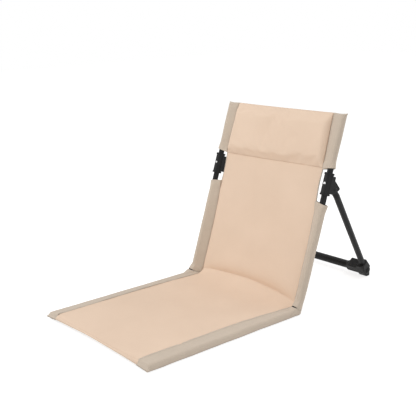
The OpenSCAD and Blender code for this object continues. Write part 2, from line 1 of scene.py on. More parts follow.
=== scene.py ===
import json
import math

import bpy
import numpy as np
from mathutils import Matrix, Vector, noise


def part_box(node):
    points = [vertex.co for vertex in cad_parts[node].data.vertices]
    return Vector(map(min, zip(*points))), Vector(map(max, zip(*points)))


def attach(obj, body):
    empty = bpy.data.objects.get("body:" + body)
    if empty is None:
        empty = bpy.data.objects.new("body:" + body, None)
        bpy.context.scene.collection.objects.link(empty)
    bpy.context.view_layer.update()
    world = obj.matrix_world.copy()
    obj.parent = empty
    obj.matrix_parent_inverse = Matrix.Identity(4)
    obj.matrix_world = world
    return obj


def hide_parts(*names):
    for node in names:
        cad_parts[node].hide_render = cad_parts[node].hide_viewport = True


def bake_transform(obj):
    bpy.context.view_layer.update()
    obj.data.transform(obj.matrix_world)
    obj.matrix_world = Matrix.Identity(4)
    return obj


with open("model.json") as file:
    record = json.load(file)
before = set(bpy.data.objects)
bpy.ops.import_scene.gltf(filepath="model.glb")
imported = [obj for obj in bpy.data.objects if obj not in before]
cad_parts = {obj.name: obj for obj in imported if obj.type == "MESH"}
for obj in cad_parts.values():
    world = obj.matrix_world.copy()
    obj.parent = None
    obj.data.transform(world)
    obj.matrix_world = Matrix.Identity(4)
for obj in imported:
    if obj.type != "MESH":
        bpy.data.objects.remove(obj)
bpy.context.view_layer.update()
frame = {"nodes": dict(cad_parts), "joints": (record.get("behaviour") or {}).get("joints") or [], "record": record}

# All lengths are in metres. TINY is the least length that another is divided by
MM = 0.001
TINY = 1e-9

# The frame's own sizes: the side tubes, the fold hinge and the fold corner
LEAN = math.radians(19.5)
OPEN = math.radians(90) + LEAN
tube_low, tube_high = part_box("seat_tube_right")
TUBE_X = (tube_low.x + tube_high.x) / 2
TUBE_Z = (tube_low.z + tube_high.z) / 2
fold_joint = next(j for j in frame["joints"] if j["name"] == "seat_fold")
AXIS_Y, AXIS_Z = fold_joint["pos_m"][1:]
HINGE_OFF = AXIS_Z - TUBE_Z
HINGE_UP = HINGE_OFF / math.tan(OPEN / 2)
FOLD_Y = AXIS_Y + HINGE_UP
MITRE = HINGE_UP / HINGE_OFF

# Lengths of the cloth, up the back or out along the seat from the fold corner
SEAT_LEN = FOLD_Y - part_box("seat_sleeve_right")[0].y
BACK_LEN = 420 * MM
LOW_SLEEVE_END = 235 * MM
HIGH_SLEEVE_START = 303 * MM
TIP_START = BACK_LEN + 0.5 * MM
TIP_LEN = 4 * MM
TOP_END = TIP_START + TIP_LEN
SEAT_TIP_START = SEAT_LEN - 3.8 * MM
SEAT_TIP_LEN = 6.2 * MM
HEM = 9 * MM
HEM_OVER = 2 * MM

# Thicknesses of the cloth, its sag, and how it meets the sleeves
SLEEVE_R = 8 * MM
TAIL_HALF = 1.0 * MM
WALL = 0.65 * MM
CLOTH_T = 1.2 * MM
SAG = 4 * MM
SEAT_SAG_SHARE = 0.4
BACK_SAG_SHARE = 0.45
UNDER_SLEEVE = 2 * MM
END_SLANT = 5 * MM
EDGE_DRAW = 2 * MM
FREE_EASE = 5 * MM

# The side seams' course: (along the frame, distance from the middle, lift above the frame's centre plane)
SEAT_SEAM = np.array([(-20, 154.5, 3.2), (35, 152.6, 4.8), (90, 150.6, 7.4), (170, 148.6, 9.0),
                      (400, 147.3, 9.0)]) * MM
BACK_SEAM = np.array([(0, 153.6, -8.6), (24, 152.8, -9.0), (150, 152.5, -8.4), (232, 152.5, -3.6),
                      (303, 152.5, -0.6), (425, 148.2, 0.8)]) * MM
SEAM_WINDOW = np.array([-8, -4, 0, 4, 8]) * MM
FRONT_DROP = 9 * MM
FRONT_DROP_LEN = 9 * MM

BACK_DIR = np.array([0, math.sin(LEAN), math.cos(LEAN)])
BACK_NORMAL = np.array([0, -math.cos(LEAN), math.sin(LEAN)])
SEAT_DIR = np.array([0, -1.0, 0])
SEAT_NORMAL = np.array([0, 0, 1.0])
CORNER = np.array([0, FOLD_Y, TUBE_Z])


def place(x, lift, along, direction, normal):
    """Points of one frame: x across, lift towards the sitter, along the frame from the fold corner."""
    x, lift, along = np.broadcast_arrays(x, lift, along)
    p = CORNER + lift[..., None] * normal + along[..., None] * direction
    p[..., 0] = x
    return p


def on_back(x, lift, up):
    return place(x, lift, up, BACK_DIR, BACK_NORMAL)


def on_seat(x, lift, out):
    return place(x, lift, out, SEAT_DIR, SEAT_NORMAL)


def ease(t):
    """Smooth step from 0 to 1."""
    t = np.clip(t, 0, 1)
    return t * t * (3 - 2 * t)


def mix(a, b, t):
    """What lies a share t of the way from a to b."""
    return a + (b - a) * t


def curve_through(a, corner, b, t):
    """A curve from a to b that sets off towards the corner and comes in from it."""
    return (1 - t) ** 2 * a + 2 * t * (1 - t) * corner + t * t * b


def ripple(points, scale, seed):
    """Smooth noise from -1 to 1 at each point, the same on every run."""
    flat = np.asarray(points, float).reshape(-1, 3) * scale
    shift = np.array([13.7, 5.3, 9.1]) * seed
    values = [noise.noise(tuple(p)) for p in flat + shift]
    return np.array(values).reshape(np.asarray(points).shape[:-1])


def seam(table, along, column):
    """A seam's distance from the middle (column 1) or its lift (column 2), with soft corners."""
    near = [np.interp(np.asarray(along) + step, table[:, 0], table[:, column]) for step in SEAM_WINDOW]
    return np.mean(near, axis=0)


def front_drop(out):
    """How far the cloth's front end has come down from the tubes' tops, from 0 to 1."""
    return ease((out - (SEAT_LEN + HEM_OVER - FRONT_DROP_LEN)) / FRONT_DROP_LEN)


def seat_seam(out):
    return seam(SEAT_SEAM, out, 1), seam(SEAT_SEAM, out, 2) - FRONT_DROP * front_drop(out)


def back_seam(up):
    return seam(BACK_SEAM, up, 1), seam(BACK_SEAM, up, 2)


# Materials: noise scales are in cells a metre
def cleared_tree(owner, output_kind):
    """The node tree of a material or a world, emptied, with a new output node."""
    owner.use_nodes = True
    tree = owner.node_tree
    tree.nodes.clear()
    return tree, tree.nodes.new(output_kind)


def new_material(name):
    material = bpy.data.materials.new(name)
    tree, output = cleared_tree(material, "ShaderNodeOutputMaterial")
    shader = tree.nodes.new("ShaderNodeBsdfPrincipled")
    tree.links.new(shader.outputs[0], output.inputs[0])
    return material, tree, shader


def node(tree, kind, links=(), **settings):
    """A shader node with its settings, and its inputs linked or set by (input, value) pairs."""
    made = tree.nodes.new(kind)
    for key, value in settings.items():
        setattr(made, key, value)
    for socket, value in links:
        if isinstance(value, bpy.types.NodeSocket):
            tree.links.new(value, made.inputs[socket])
        else:
            made.inputs[socket].default_value = value
    return made


def maths(tree, operation, a, b=0.0):
    return node(tree, "ShaderNodeMath", [(0, a), (1, b)], operation=operation).outputs[0]


def ramp(tree, value, low, high, out_low, out_high):
    """The value, clamped between low and high and brought to the range of the outputs."""
    links = [(0, value), (1, low), (2, high), (3, out_low), (4, out_high)]
    return node(tree, "ShaderNodeMapRange", links).outputs[0]


def spread(tree, noise_value, out_low, out_high):
    """The middle of a noise's range, where most of it lies, brought to the range of the outputs."""
    return ramp(tree, noise_value, 0.3, 0.7, out_low, out_high)


def tint(tree, value, dark, light):
    """A colour between two, by a value from 0 to 1."""
    made = node(tree, "ShaderNodeMix", [(0, value)], data_type="RGBA")
    made.inputs[6].default_value = (*dark, 1)
    made.inputs[7].default_value = (*light, 1)
    return made.outputs[2]


def noise_of(tree, vector, scale=1.0, detail=3.0):
    links = [("Vector", vector), ("Scale", scale), ("Detail", detail)]
    return node(tree, "ShaderNodeTexNoise", links).outputs[0]


def stretched(tree, vector, sizes):
    """The vector with its axes multiplied, so that noise comes out as streaks."""
    return node(tree, "ShaderNodeVectorMath", [(0, vector), (1, sizes)], operation="MULTIPLY").outputs[0]


def set_shader(shader, roughness, metallic=0.0, specular=0.5, sheen=0.0, sheen_roughness=0.5):
    shader.inputs["Roughness"].default_value = roughness
    shader.inputs["Metallic"].default_value = metallic
    shader.inputs["Specular IOR Level"].default_value = specular
    shader.inputs["Sheen Weight"].default_value = sheen
    shader.inputs["Sheen Roughness"].default_value = sheen_roughness


def bump(tree, height, depth, strength, normal=None):
    """Relief of a depth in metres, on top of an earlier relief where one is given."""
    made = node(tree, "ShaderNodeBump", [("Height", height), ("Distance", depth), ("Strength", strength)])
    if normal is not None:
        tree.links.new(normal, made.inputs["Normal"])
    return made.outputs[0]


# The weave: a yarn's unevenness in cells a metre across and along it, shares of the colour range, and the painted
# shade in the grooves between its threads
THREAD_PITCH = 0.62 * MM
YARN_STREAKS = (1100, 60)
GROOVE_HEIGHT = 0.6
GROOVE_SHADE = -0.12
CLOUD_TONES = (0.38, 0.62)


def woven(name, dark, light, melange, sheen):
    """Plain weave, with slubs, streaks of uneven yarn, a soft broad unevenness and painted shade in the grooves
    between the threads.
    """
    material, tree, shader = new_material(name)
    uv = node(tree, "ShaderNodeUVMap", uv_map="weave").outputs[0]
    parts = node(tree, "ShaderNodeSeparateXYZ", [(0, uv)])
    turns = [maths(tree, "MULTIPLY", parts.outputs[i], math.pi / THREAD_PITCH) for i in (0, 1)]
    cell = maths(tree, "MULTIPLY", *[maths(tree, "SINE", turn) for turn in turns])
    height = maths(tree, "SQRT", maths(tree, "ABSOLUTE", cell))
    across, along = YARN_STREAKS
    warp_streak = noise_of(tree, stretched(tree, uv, (across, along, 1)))
    weft_streak = noise_of(tree, stretched(tree, uv, (along, across, 1)))
    over = maths(tree, "GREATER_THAN", cell, 0.0)
    streak = node(tree, "ShaderNodeMix", [(0, over), (2, warp_streak), (3, weft_streak)]).outputs[0]
    yarn = spread(tree, streak, -0.5 * melange, 0.5 * melange)
    cloud = spread(tree, noise_of(tree, uv, scale=9.0, detail=4.0), *CLOUD_TONES)
    # Painted shade: the colour darkens where the threads dip, in the grooves between them
    groove_shade = ramp(tree, height, 0.0, GROOVE_HEIGHT, GROOVE_SHADE, 0.0)
    tone = maths(tree, "ADD", maths(tree, "ADD", cloud, yarn), groove_shade)
    tree.links.new(tint(tree, tone, dark, light), shader.inputs["Base Color"])
    crumple = bump(tree, noise_of(tree, uv, scale=55.0, detail=5.0), depth=0.5 * MM, strength=0.5)
    slubs = bump(tree, streak, depth=0.08 * MM, strength=0.6, normal=crumple)
    threads = bump(tree, height, depth=0.1 * MM, strength=0.6, normal=slubs)
    tree.links.new(threads, shader.inputs["Normal"])
    set_shader(shader, roughness=0.9, specular=0.25, sheen=sheen, sheen_roughness=0.45)
    return material


# Scuffs and dust on the black parts, and the spread of their gloss round its middle value
GLOSS_SPREAD = (-0.05, 0.07)
SCUFF_CELLS = (420, 60, 60)
SCUFF_RANGE = (0.62, 0.8)
SCUFF_TONE = 0.25
SCUFF_DULLING = 0.12
DUST_COLOUR = 0.03


def coated(name, colour, roughness, grain, depth, dust):
    """Black coating or moulded plastic: fine grain, uneven gloss, scuffs and a little dust."""
    material, tree, shader = new_material(name)
    spot = node(tree, "ShaderNodeTexCoord").outputs["Object"]
    fine = noise_of(tree, spot, scale=grain, detail=2.0)
    broad = noise_of(tree, spot, scale=35.0, detail=4.0)
    scuffs = noise_of(tree, stretched(tree, spot, SCUFF_CELLS), detail=5.0)
    marks = ramp(tree, scuffs, *SCUFF_RANGE, 0.0, 1.0)
    tone = maths(tree, "ADD", spread(tree, broad, 0.0, dust), maths(tree, "MULTIPLY", marks, SCUFF_TONE))
    light = tuple(c + DUST_COLOUR for c in colour)
    tree.links.new(tint(tree, tone, colour, light), shader.inputs["Base Color"])
    gloss = spread(tree, broad, *[roughness + step for step in GLOSS_SPREAD])
    dulled = maths(tree, "ADD", gloss, maths(tree, "MULTIPLY", marks, SCUFF_DULLING))
    tree.links.new(dulled, shader.inputs["Roughness"])
    tree.links.new(bump(tree, fine, depth=depth, strength=0.7), shader.inputs["Normal"])
    set_shader(shader, roughness=roughness, specular=0.18)
    return material


BRUSH_CELLS = (4000, 300, 300)


def steel(name, dark, light):
    """Bare or blackened steel with fine brushed lines and faint stains."""
    material, tree, shader = new_material(name)
    spot = node(tree, "ShaderNodeTexCoord").outputs["Object"]
    brushed = noise_of(tree, stretched(tree, spot, BRUSH_CELLS))
    stain = noise_of(tree, spot, scale=160.0)
    tree.links.new(tint(tree, spread(tree, stain, 0.0, 1.0), dark, light), shader.inputs["Base Color"])
    tree.links.new(spread(tree, brushed, 0.2, 0.38), shader.inputs["Roughness"])
    tree.links.new(bump(tree, brushed, depth=0.02 * MM, strength=0.5), shader.inputs["Normal"])
    set_shader(shader, roughness=0.3, metallic=1.0)
    return material


# The thread's twist, in radians a metre round it and along it, and the painted shade in the groove between its
# plies as a share of its colour
TWIST_ROUND = 2200.0
TWIST_ALONG = 5200.0
PLY_SHADE = 0.7


def spun(name, colour):
    """Sewing thread: two plies twisted together, with painted shade in the groove between them."""
    material, tree, shader = new_material(name)
    uv = node(tree, "ShaderNodeUVMap", uv_map="weave").outputs[0]
    parts = node(tree, "ShaderNodeSeparateXYZ", [(0, uv)])
    twist = maths(tree, "ADD", maths(tree, "MULTIPLY", parts.outputs[0], TWIST_ROUND),
                  maths(tree, "MULTIPLY", parts.outputs[1], TWIST_ALONG))
    ply = maths(tree, "SINE", twist)
    # Painted shade: the colour darkens towards the groove between the plies
    dark = tuple(c * PLY_SHADE for c in colour)
    shade = ramp(tree, ply, -1.0, 1.0, 0.0, 1.0)
    tree.links.new(tint(tree, shade, dark, colour), shader.inputs["Base Color"])
    tree.links.new(bump(tree, ply, depth=0.06 * MM, strength=0.8), shader.inputs["Normal"])
    set_shader(shader, roughness=0.7, specular=0.35, sheen=0.1)
    return material


MAIN_CLOTH = woven("main_cloth", dark=(0.705, 0.53, 0.398), light=(0.845, 0.66, 0.515),
                   melange=0.10, sheen=0.12)
EDGE_CLOTH = woven("edge_cloth", dark=(0.49, 0.405, 0.325), light=(0.66, 0.56, 0.455),
                   melange=0.34, sheen=0.32)
POWDER_COAT = coated("powder_coat", (0.005, 0.005, 0.0055),
                     roughness=0.42, grain=1400.0, depth=0.03 * MM, dust=0.25)
PLASTIC = coated("black_plastic", (0.006, 0.006, 0.0065),
                 roughness=0.50, grain=2600.0, depth=0.025 * MM, dust=0.3)
STEEL = steel("bare_steel", dark=(0.5, 0.5, 0.51), light=(0.72, 0.72, 0.73))
BLACK_STEEL = steel("black_steel", dark=(0.02, 0.02, 0.021), light=(0.05, 0.05, 0.052))
MAIN_THREAD = spun("main_thread", (0.81, 0.63, 0.49))
EDGE_THREAD = spun("edge_thread", (0.62, 0.54, 0.45))


def dress(piece, material):
    piece.data.materials.clear()
    piece.data.materials.append(material)


# Meshes
def make_mesh(name, points, faces, corner_uv, material):
    """A smooth mesh with the cloth's own flat coordinates, in metres, as its UV map."""
    mesh = bpy.data.meshes.new(name)
    mesh.from_pydata([tuple(p) for p in points], [], faces)
    layer = mesh.uv_layers.new(name="weave")
    layer.data.foreach_set("uv", np.asarray(corner_uv, np.float32).ravel())
    mesh.polygons.foreach_set("use_smooth", [True] * len(mesh.polygons))
    mesh.validate()
    mesh.update()
    piece = bpy.data.objects.new(name, mesh)
    bpy.context.scene.collection.objects.link(piece)
    dress(piece, material)
    return piece


def distances(points, axis):
    """Running length along one axis of a grid of points."""
    steps = np.linalg.norm(np.diff(points, axis=axis), axis=-1)
    zero = np.zeros_like(np.take(steps, [0], axis=axis))
    return np.concatenate([zero, np.cumsum(steps, axis=axis)], axis=axis)


def grid_normals(points):
    n = np.cross(np.gradient(points, axis=1), np.gradient(points, axis=0))
    return n / np.linalg.norm(n, axis=-1)[..., None]


def two_layers(name, front, back, material):
    """A closed sheet between two grids of points, (stations, across), as one layer of cloth."""
    rows, cols = front.shape[:2]
    points = np.concatenate([front.reshape(-1, 3), back.reshape(-1, 3)])
    u = distances(front, 1)
    u = u - u[:, cols // 2, None]
    v = np.broadcast_to(distances(front, 0).mean(axis=1)[:, None], u.shape)
    flat = np.concatenate([np.stack([u, v], -1).reshape(-1, 2)] * 2)
    half = rows * cols
    faces = []
    for i in range(rows - 1):
        for j in range(cols - 1):
            a = i * cols + j
            faces.append((a, a + 1, a + cols + 1, a + cols))
            faces.append((half + a, half + a + cols, half + a + cols + 1, half + a + 1))
        for a in (i * cols, i * cols + cols - 1):
            rim = (a, a + cols, half + a + cols, half + a)
            faces.append(rim if a == i * cols else rim[::-1])
    for j in range(cols - 1):
        for a in (j, (rows - 1) * cols + j):
            rim = (a, half + a, half + a + 1, a + 1)
            faces.append(rim if a == j else rim[::-1])
    uv = [flat[k] for f in faces for k in f]
    return make_mesh(name, points, faces, uv, material)


# Stitches: the lift, the dip of the ends and the fullness are shares of the thread's radius
STITCH_PITCH = 3.4 * MM
STITCH_LEN = 2.7 * MM
STITCH_R = 0.24 * MM
STITCH_RINGS = 7
STITCH_SIDES = 6
STITCH_LIFT = 0.9
STITCH_DIP = 1.7
STITCH_FULL = 1.02


def stitch_row(line, normal):
    """Stitches lying along a line of points: each a short thread whose ends dip into the cloth."""
    rings, sides = STITCH_RINGS, STITCH_SIDES
    run = distances(line, 0)
    count = int(run[-1] / STITCH_PITCH)
    verts, faces, uvs = [], [], []
    turn = 2 * math.pi * np.arange(sides) / sides
    t = np.linspace(-1, 1, rings)
    rise = STITCH_R * (STITCH_LIFT - STITCH_DIP * t ** 4)
    thick = STITCH_R * np.sqrt(STITCH_FULL - t ** 6)
    for k in range(count):
        at = (k + 0.5) * run[-1] / count + STITCH_LEN * np.linspace(-0.5, 0.5, rings)
        centre = np.stack([np.interp(at, run, line[:, c]) for c in range(3)], -1)
        up = np.stack([np.interp(at, run, normal[:, c]) for c in range(3)], -1)
        ahead = np.gradient(centre, axis=0)
        ahead /= np.linalg.norm(ahead, axis=1)[:, None]
        side = np.cross(ahead, up)
        base = len(verts)
        for i in range(rings):
            spokes = np.cos(turn)[:, None] * side[i] + np.sin(turn)[:, None] * up[i]
            verts.extend(centre[i] + up[i] * rise[i] + thick[i] * spokes)
        for i in range(rings - 1):
            for j in range(sides):
                a, b = base + i * sides + j, base + i * sides + (j + 1) % sides
                faces.append((a, b, b + sides, a + sides))
                u = STITCH_R * turn[1] * np.array([j, j + 1, j + 1, j])
                uvs.extend(np.stack([u, at[[i, i, i + 1, i + 1]]], -1))
        for i in (0, rings - 1):
            cap = [base + i * sides + j for j in range(sides)]
            faces.append(tuple(cap if i else cap[::-1]))
            uvs.extend([(0, at[i])] * sides)
    return verts, faces, uvs


def sew(name, rows, material):
    """All the stitches of several rows, each a (line, normal) pair, as one piece."""
    verts, faces, uvs = [], [], []
    for line, normal in rows:
        v, f, t = stitch_row(line, normal)
        faces.extend(tuple(k + len(verts) for k in face) for face in f)
        verts.extend(v)
        uvs.extend(t)
    return make_mesh(name, verts, faces, uvs, material)


# The main cloth's profile: the seat, a sweep up to the valley at the fold, a rise out of it, and the back.
# Pairs are (at the side seams, in the middle); the valley's line is (distance from the middle, up the back)
SWEEP_OUT = (2 * MM, 36 * MM)
VALLEY_LINE = np.array([(-152, 17), (-140, 22.5), (-92, 26), (-45, 29), (0, 30.5), (36, 28), (74, 26),
                        (104, 22.5), (132, 18.5), (152, 14)]) * MM
VALLEY_HALF = 152 * MM
VALLEY_WINDOW = np.linspace(-18, 18, 7) * MM
VALLEY_LIFT = (-9 * MM, -17 * MM)
BACK_JOIN = (34 * MM, 82 * MM)
ARRIVE = (math.pi / 2 - LEAN, math.radians(46))
LEAVE = (math.pi / 2 - LEAN, math.radians(118))
SEAT_STEPS = 64
SWEEP_STEPS = 16
RISE_STEPS = 18
BACK_STEPS = 60
PANEL_COLS = 73
PANEL_CROWDING = 0.5
MIDDLE_POWER = 5
HEM_POWER = 1.6


def hermite(p, q, tp, tq, t):
    """A curve from p to q that leaves along tp and arrives along tq."""
    t = t[:, None]
    return ((2 * t ** 3 - 3 * t ** 2 + 1) * p + (t ** 3 - 2 * t ** 2 + t) * tp
            + (3 * t ** 2 - 2 * t ** 3) * q + (t ** 3 - t ** 2) * tq)


def sag_at(u, along, start, full):
    """Sag between the side seams, from none at the start to all of it at the full length."""
    return -SAG * (1 - u * u) * ease((along - start) / (full - start))


def half_width(up):
    """The back cloth's half width: under the sleeves' tails, and drawn in along its free edges."""
    t = np.clip((up - LOW_SLEEVE_END) / (HIGH_SLEEVE_START - LOW_SLEEVE_END), 0, 1)
    free = ease((up - LOW_SLEEVE_END) / FREE_EASE + 1) * ease((HIGH_SLEEVE_START - up) / FREE_EASE + 1)
    return back_seam(up)[0] + UNDER_SLEEVE * (1 - free) - EDGE_DRAW * np.sin(math.pi * t)


def back_lift(u, up, start):
    return back_seam(up)[1] + sag_at(u, up, start, BACK_SAG_SHARE * BACK_LEN)


def cloth_line(u):
    """The neutral line of the cloth at a share u of its half width, from the seat's front to the top."""
    w = 1 - abs(u) ** MIDDLE_POWER
    sweep, lift, join, arrive, leave = (
        mix(a, b, w) for a, b in (SWEEP_OUT, VALLEY_LIFT, BACK_JOIN, ARRIVE, LEAVE))
    valley = float(np.mean(np.interp(u * VALLEY_HALF + VALLEY_WINDOW, VALLEY_LINE[:, 0], VALLEY_LINE[:, 1])))
    out = np.linspace(SEAT_LEN + HEM_OVER, sweep, SEAT_STEPS + 1)
    seam_x, seam_lift = seat_seam(out)
    seat_lift = seam_lift + FRONT_DROP * front_drop(out) * (1 - abs(u) ** HEM_POWER)
    seat_lift = seat_lift + sag_at(u, out, sweep, SEAT_SAG_SHARE * SEAT_LEN)
    seat = on_seat(u * (seam_x + UNDER_SLEEVE), seat_lift, out)
    a = seat[-1]
    c = on_back(u * half_width(valley), lift, valley)
    corner = c.copy()
    corner[1] -= (c[2] - a[2]) / math.tan(arrive)
    corner[2] = a[2]
    sweep_line = curve_through(a, corner, c, np.linspace(0, 1, SWEEP_STEPS + 1)[1:, None])
    b = on_back(u * half_width(join), back_lift(u, join, valley), join)
    run = np.linalg.norm(b - c)
    t = np.linspace(0, 1, RISE_STEPS + 1)[1:]
    rise_line = hermite(c, b, np.array([0, math.cos(leave), math.sin(leave)]) * run, BACK_DIR * run, t)
    up = np.linspace(join, TOP_END, BACK_STEPS + 1)[1:]
    back = on_back(u * half_width(up), back_lift(u, up, valley), up)
    return np.concatenate([seat, sweep_line, rise_line, back])


def panel_grid():
    """The cloth's neutral surface, with its lines a little closer together at the sides."""
    shares = np.sin(np.linspace(-math.pi / 2, math.pi / 2, PANEL_COLS))
    shares = mix(np.linspace(-1, 1, PANEL_COLS), shares, PANEL_CROWDING)
    return shares, np.stack([cloth_line(u) for u in shares], axis=1)


# Unevenness of the main cloth as (cells a metre, seed, height), and how its hems and edges thicken and thin
SOFT_WAVES = ((11.0, 1, 1.1 * MM), (32.0, 2, 0.35 * MM))
CALM_POWER = 6
HEM_STEP = 0.8 * MM
HEM_THICKER = 0.35
THIN_SHARE = 0.35
THIN_EDGE = 0.01
THIN_END = 1.5 * MM


def main_cloth():
    """Seat and back in one run of doubled cloth, with a hem at each end."""
    shares, mid = panel_grid()
    normal = grid_normals(mid)
    calm = (1 - np.abs(shares) ** CALM_POWER)[None, :]
    soft = sum(ripple(mid, scale, seed) * height for scale, seed, height in SOFT_WAVES)
    mid = mid + normal * (soft * calm)[..., None]
    rows = distances(mid, 0).mean(axis=1)
    front_hem = ease((HEM - rows) / HEM_STEP)
    top_hem = ease((rows - (rows[-1] - HEM)) / HEM_STEP)
    half = CLOTH_T / 2 * (1 + HEM_THICKER * (front_hem + top_hem))
    from_edge = np.clip((1 - np.abs(shares)) / THIN_EDGE, 0, 1)
    from_end = np.clip(np.minimum(rows, rows[-1] - rows) / THIN_END, 0, 1)
    edge = np.minimum(1, THIN_SHARE + (1 - THIN_SHARE) * np.sqrt(from_edge))
    ends = np.minimum(1, THIN_SHARE + np.sqrt(from_end))
    half = half[:, None] * edge[None, :] * ends[:, None]
    front = mid + normal * half[..., None]
    back = mid - normal * half[..., None]
    piece = two_layers("seat_and_back_cloth", front, back, MAIN_CLOTH)
    return piece, mid, normal, rows


# Sleeves. A section is a ring of OUTLINE points, with INLET of them on each face of its tail
OUTLINE = 56
INLET = 12
SLEEVE_RINGS = 90
END_CROWDING = 0.75

# The rounded box into which a sleeve's front swells over the hinge
BOX_HALF = 8.7 * MM
BOX_TOP = 13.75 * MM
BOX_FULL = 8 * MM
BOX_END = 20.5 * MM
BOX_GONE = BOX_END + 5.5 * MM
BOX_FADE = 6.5 * MM
BOX_POWER = 0.42
BOX_TOUCH = math.radians(125)
BOX_REAR_EASE = 0.6

# How loosely a lower sleeve hangs, as shares of its radius, and how far up the back it starts
REAR_SLACK = 0.42
SIDE_SLACK = 0.35
FOLD_SLACK = 0.14
SLACK_RISE = 55 * MM
CUT_REAR = 1.0 * MM
CUT_FRONT = 6 * MM
CUT_SEAM = 9.5 * MM
CUT_INNER_SHARE = 0.8
SLIT = 2.8 * MM

# How a sleeve's open end stands off its tube
FLARE_LEN = 22 * MM
FLARE_OUT = 0.42
FLARE_FLATTER = 0.06

# Puckers and waves: heights, and noise cells a metre as (along the sleeve, round it, seed)
RING_STEP = 0.9 * MM
PUCKER = 0.45 * MM
PUCKER_CELLS = (70, 22, 1)
PUCKER_ON_TUBE = 0.35
PUCKER_FROM = 2 * MM
PUCKER_FULL = 14 * MM
WAVE = 0.5 * MM
WAVE_CELLS = (24, 60, 1)
CALM_AT_FOLD = 0.1
CALM_LEN = 25 * MM

# The flat sewn edge that closes a sleeve beyond its tube, and how far its inner face stays inside
TIP_SHARES = (0.15, 0.3, 0.45, 0.6, 0.75, 0.9, 1.0)
TIP_HALF = 0.8 * MM
TIP_INSET_LIFT = 0.35 * MM
TIP_INSET_OUT = 0.3 * MM
TIP_INSET_ALONG = 0.4 * MM
TIP_WIDER = 2.8 * MM
TIP_TOP_START = 0.15
TIP_REAR_HASTE = 1.6
TIP_EAR = 1.2 * MM
EAR_POWER = 8
EAR_HOLLOW = 0.5
SEAT_TIP_DROOP = 2.2 * MM

# A seat sleeve's run round the fold, and its end tucked in under the lower sleeve: each tucked ring as
# (share of the tuck's depth, distance beyond the turn)
TURN_STEPS = 10
TURN_LEAD = 2 * MM
TURN_EVENNESS = 1.05
TUCK = 2.2 * MM
TUCK_BESIDE_PIN = 0.7 * MM
PIN_SIDE = 3 * MM
TUCKED_RINGS = ((1.0, 6.0 * MM), (1.0, 1.2 * MM), (0.7, 0.4 * MM))

# No sleeve comes closer to the floor than this
LEAST_HEIGHT = 0.2 * MM


def tail_line(tip, touch):
    return mix(np.asarray(tip), np.asarray(touch), np.linspace(0, 1, INLET + 1)[:-1, None])


def closed_ring(tips, round_part):
    """A whole section: a tail's upper face, the part round the tube, and the tail's lower face."""
    upper = tail_line(tips[0], round_part[0])
    lower = tail_line(tips[1], round_part[-1])
    return np.concatenate([upper, round_part, lower[::-1]])


def with_slack(ring, tail, slack):
    """The section with its rear hanging loose, further from the tube than its front."""
    loose = slack * ease((ring[:, 0] + tail) / (tail - SLEEVE_R / 2))
    behind = ease(-ring[:, 1] / (SLEEVE_R / 2))
    return ring * np.stack([1 + SIDE_SLACK * loose * behind * (ring[:, 0] > 0), 1 + loose * behind], -1)


def ring_at(layer, tail, lift, along):
    """A sleeve's section as (outward, lift) pairs: from the seam over the tube and back to the seam.
    Near the fold, its front swells into a rounded box over the hinge."""
    r = SLEEVE_R - layer * WALL
    half = TAIL_HALF - layer * WALL
    tips = [(layer * WALL - tail, lift + half), (layer * WALL - tail, lift - half)]
    turn = [math.atan2(y, x) for x, y in tips]
    off = [math.acos(r / math.hypot(x, y)) for x, y in tips]
    top = (turn[0] - off[0]) % (2 * math.pi)
    low = (turn[1] + off[1]) % (2 * math.pi) - 2 * math.pi
    arc = np.linspace(top, low, OUTLINE - 2 * INLET)
    ring = closed_ring(tips, r * np.stack([np.cos(arc), np.sin(arc)], -1))
    swell = float(np.clip((BOX_GONE - along) / BOX_FADE, 0, 1))
    if swell == 0:
        return ring
    box_half = BOX_HALF - layer * WALL
    box_share = float(np.clip((BOX_END - along) / (BOX_END - BOX_FULL), 0, 1))
    box_top = mix(SLEEVE_R, BOX_TOP, box_share) - layer * WALL
    arc = np.linspace(BOX_TOUCH, low, OUTLINE - 2 * INLET)
    c, s = np.cos(arc), np.sin(arc)
    front = np.stack([box_half * np.sign(c) * abs(c) ** BOX_POWER, box_top * abs(s) ** BOX_POWER], -1)
    rear = r * np.stack([c, s], -1)
    rear[:, 0] *= mix(1, box_half / r, ease(1 + s / BOX_REAR_EASE))
    box = closed_ring(tips, np.where((s > 0)[:, None], front, rear))
    return mix(ring, box, ease(swell))


def fold_cut(ring, tail):
    """How far up the back a lower sleeve starts, point by point of its section."""
    x, lift = ring[:, 0], ring[:, 1]
    slope = (CUT_FRONT * MITRE - CUT_REAR) / (CUT_FRONT + SLEEVE_R)
    cut = np.where(lift > CUT_FRONT, MITRE * lift, CUT_REAR + slope * (lift + SLEEVE_R))
    inner_start = CUT_INNER_SHARE * SLEEVE_R
    inner = np.clip((-x - inner_start) / (tail - inner_start), 0, 1)
    return mix(cut, np.maximum(cut, CUT_SEAM), inner) + SLIT / 2


def flared(ring, gap, tail, layer):
    """The section near an open end, where the cloth stands off the tube a little."""
    e = float(ease(1 - gap / FLARE_LEN))
    if e == 0:
        return ring
    ring = ring * [1 + FLARE_OUT * e, 1 - FLARE_FLATTER * e]
    ring[:, 0] = np.maximum(ring[:, 0], layer * WALL - tail)
    return ring


